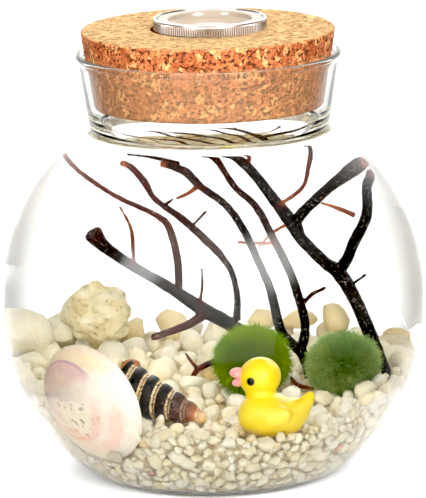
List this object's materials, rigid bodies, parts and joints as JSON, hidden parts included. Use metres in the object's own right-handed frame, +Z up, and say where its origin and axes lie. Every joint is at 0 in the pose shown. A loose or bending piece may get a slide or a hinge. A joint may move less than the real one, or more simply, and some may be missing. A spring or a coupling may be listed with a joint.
{
  "type": "marimo moss ball jar",
  "caption": "Corked round glass jar of water with moss balls, dark sea fan branches, cream gravel, shells and a toy duck.",
  "frame": {"origin": "centre of the jar's flat base, on the surface that it stands on", "axes": "+Z up along the jar's axis; -Y is the front, where the duck and the clam shell are; +X is to the viewer's right"},
  "size_m": [0.1198, 0.1198, 0.1296],
  "materials": {
    "glass": "clear, smooth",
    "cork": "agglomerated cork, tan top, orange-brown side with dark pits",
    "lamp_ring": "bright plated, finely knurled side",
    "lamp_lens": "clear dished lens",
    "lamp_body": "white plastic",
    "water": "clear water",
    "gravel": "loose cream and ivory pebbles",
    "coral": "pale rough stone",
    "moss": "short soft green fibres",
    "duck": "satin yellow with pink bill and black eyes",
    "clam": "smooth, cream, mauve and peach growth bands",
    "turret": "dark whorls with cream and brown bands",
    "sea_fan": "matte charcoal to dark red-brown, speckled"
  },
  "bodies": {
    "root": {"glass_jar": "glass", "cork_stopper": "cork", "lamp_ring": "lamp_ring", "lamp_lens": "lamp_lens", "lamp_body": "lamp_body", "water": "water", "gravel_bed": "gravel", "coral_lump": "coral", "moss_ball_left": "moss", "moss_ball_right": "moss", "toy_duck": "duck", "clam_shell": "clam", "turret_shell": "turret", "sea_fan_left_trunk": "sea_fan", "sea_fan_left_long_limb": "sea_fan", "sea_fan_left_curved_limb": "sea_fan", "sea_fan_left_side_limb": "sea_fan", "sea_fan_middle_foot": "sea_fan", "sea_fan_middle_left_limb": "sea_fan", "sea_fan_middle_right_limb": "sea_fan", "sea_fan_right_trunk": "sea_fan", "sea_fan_right_upper_twig": "sea_fan", "sea_fan_right_inner_limb": "sea_fan", "sea_fan_right_outer_limb": "sea_fan", "loose_twig_left": "sea_fan", "loose_twig_right": "sea_fan"}
  },
  "joints": []
}
